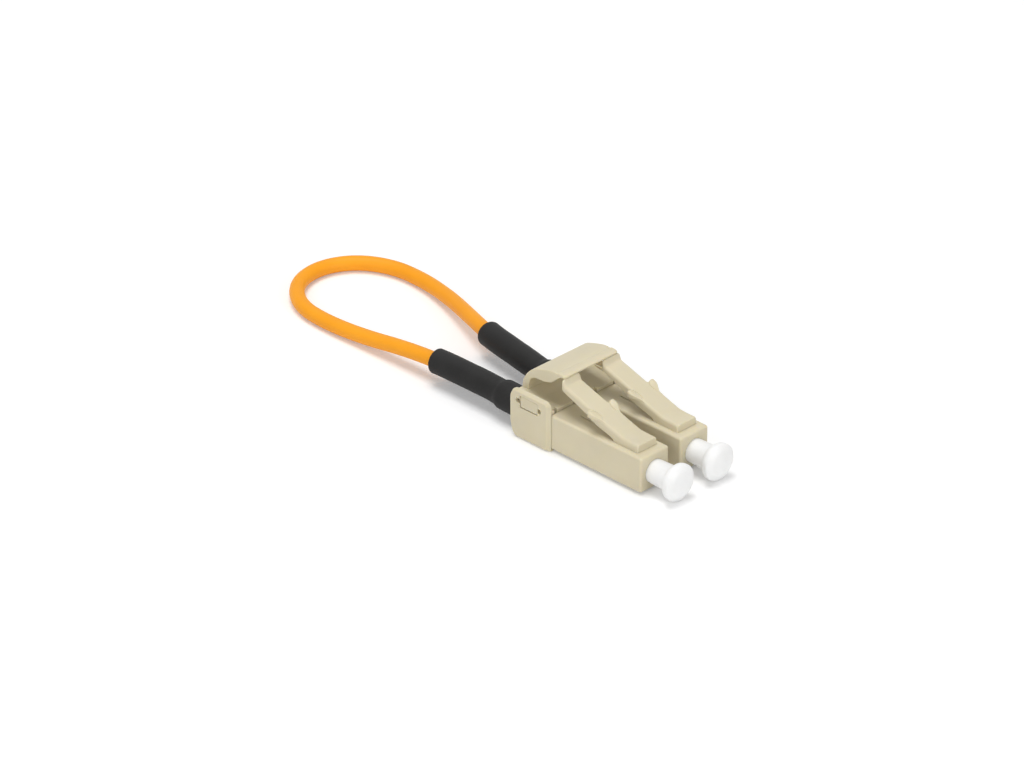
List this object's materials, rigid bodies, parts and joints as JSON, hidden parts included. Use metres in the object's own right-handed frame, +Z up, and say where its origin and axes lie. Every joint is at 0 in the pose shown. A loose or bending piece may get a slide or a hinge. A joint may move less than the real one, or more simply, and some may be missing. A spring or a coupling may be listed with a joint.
{
  "type": "duplex fibre loopback plug",
  "caption": "Duplex fibre loopback plug: latched plugs held side by side in a moulded clip, joined by a short cable loop, with dust caps.",
  "frame": {"origin": "middle of the clip's flat underside, between the two plugs", "axes": "+X out of the plugs' fronts along the ferrules, +Y to the left plug, +Z up through the latches and the trigger"},
  "size_m": [0.066, 0.0177, 0.0094],
  "materials": {
    "beige_plastic": "satin moulded",
    "rear_plastic": "satin moulded",
    "ferrule_ceramic": "polished ceramic",
    "flange_metal": "turned",
    "spring_steel": "drawn wire",
    "crimp_metal": "plain",
    "fibre_buffer": "smooth",
    "cap_plastic": "soft moulded",
    "shrink_tube": "satin",
    "cable_jacket": "satin extruded"
  },
  "bodies": {
    "plug_pair": {"clip_base": "beige_plastic", "clip_deck": "beige_plastic", "housing_right": "beige_plastic", "housing_left": "beige_plastic", "rear_body_right": "rear_plastic", "rear_body_left": "rear_plastic", "crimp_sleeve_right": "crimp_metal", "crimp_sleeve_left": "crimp_metal", "ferrule_spring_right": "spring_steel", "ferrule_spring_left": "spring_steel", "shrink_sleeve_right": "shrink_tube", "shrink_sleeve_left": "shrink_tube", "loop_cable": "cable_jacket"},
    "trigger": {"clip_trigger": "beige_plastic"},
    "right_latch": {"latch_right": "beige_plastic"},
    "right_ferrule": {"ferrule_right": "ferrule_ceramic", "ferrule_flange_right": "flange_metal", "fibre_right": "fibre_buffer"},
    "right_cap": {"dust_cap_right": "cap_plastic"},
    "left_latch": {"latch_left": "beige_plastic"},
    "left_ferrule": {"ferrule_left": "ferrule_ceramic", "ferrule_flange_left": "flange_metal", "fibre_left": "fibre_buffer"},
    "left_cap": {"dust_cap_left": "cap_plastic"}
  },
  "joints": [
    {"name": "trigger_press", "type": "hinge", "parent": "plug_pair", "child": "trigger", "pos_m": [-0.00218, 0, 0.00642], "axis": [0, 1, 0], "range_deg": [0, 8], "stiffness_Nm_per_rad": 0.004},
    {"name": "right_latch_flex", "type": "hinge", "parent": "plug_pair", "child": "right_latch", "pos_m": [0.0113, -0.00313, 0.00531], "axis": [0, -1, 0], "range_deg": [0, 6.4], "stiffness_Nm_per_rad": 0.004},
    {"name": "right_ferrule_push", "type": "slide", "parent": "plug_pair", "child": "right_ferrule", "axis": [-1, 0, 0], "range_m": [0, 0.001], "stiffness_N_per_m": 1500, "springref_m": -0.001, "deforming": ["ferrule_spring_right"]},
    {"name": "right_cap_pull", "type": "slide", "parent": "plug_pair", "child": "right_cap", "axis": [1, 0, 0], "range_m": [0, 0.01]},
    {"name": "left_latch_flex", "type": "hinge", "parent": "plug_pair", "child": "left_latch", "pos_m": [0.0113, 0.00313, 0.00531], "axis": [0, -1, 0], "range_deg": [0, 6.4], "stiffness_Nm_per_rad": 0.004},
    {"name": "left_ferrule_push", "type": "slide", "parent": "plug_pair", "child": "left_ferrule", "axis": [-1, 0, 0], "range_m": [0, 0.001], "stiffness_N_per_m": 1500, "springref_m": -0.001, "deforming": ["ferrule_spring_left"]},
    {"name": "left_cap_pull", "type": "slide", "parent": "plug_pair", "child": "left_cap", "axis": [1, 0, 0], "range_m": [0, 0.01]}
  ],
  "couplings": [
    {"joint": "right_latch_flex", "follows": "trigger_press", "ratio": 0.8},
    {"joint": "left_latch_flex", "follows": "trigger_press", "ratio": 0.8}
  ]
}
